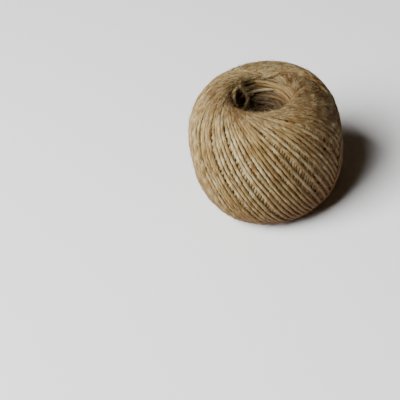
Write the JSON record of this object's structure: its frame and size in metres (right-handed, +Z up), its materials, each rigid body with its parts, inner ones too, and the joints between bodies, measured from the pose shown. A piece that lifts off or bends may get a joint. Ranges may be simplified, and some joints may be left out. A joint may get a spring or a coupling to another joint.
{
  "type": "ball of twine",
  "caption": "Cross-wound ball of natural jute twine with an open centre hole and a loose inner end.",
  "frame": {"origin": "middle of the flat ring that the ball stands on, at the foot of the centre hole's axis", "axes": "+Z up along the centre hole; +Y away from the side that is seen in front, where the newest turn grazes the upper mouth"},
  "size_m": [0.0798, 0.079, 0.0678],
  "materials": {
    "jute_wound": "matt twisted jute, hairy, with a faint sheen along the fibres",
    "jute_end": "matt twisted jute, paler and loosely twisted"
  },
  "bodies": {
    "root": {"wound_ball": "jute_wound", "loose_inner_end": "jute_end"}
  },
  "joints": []
}
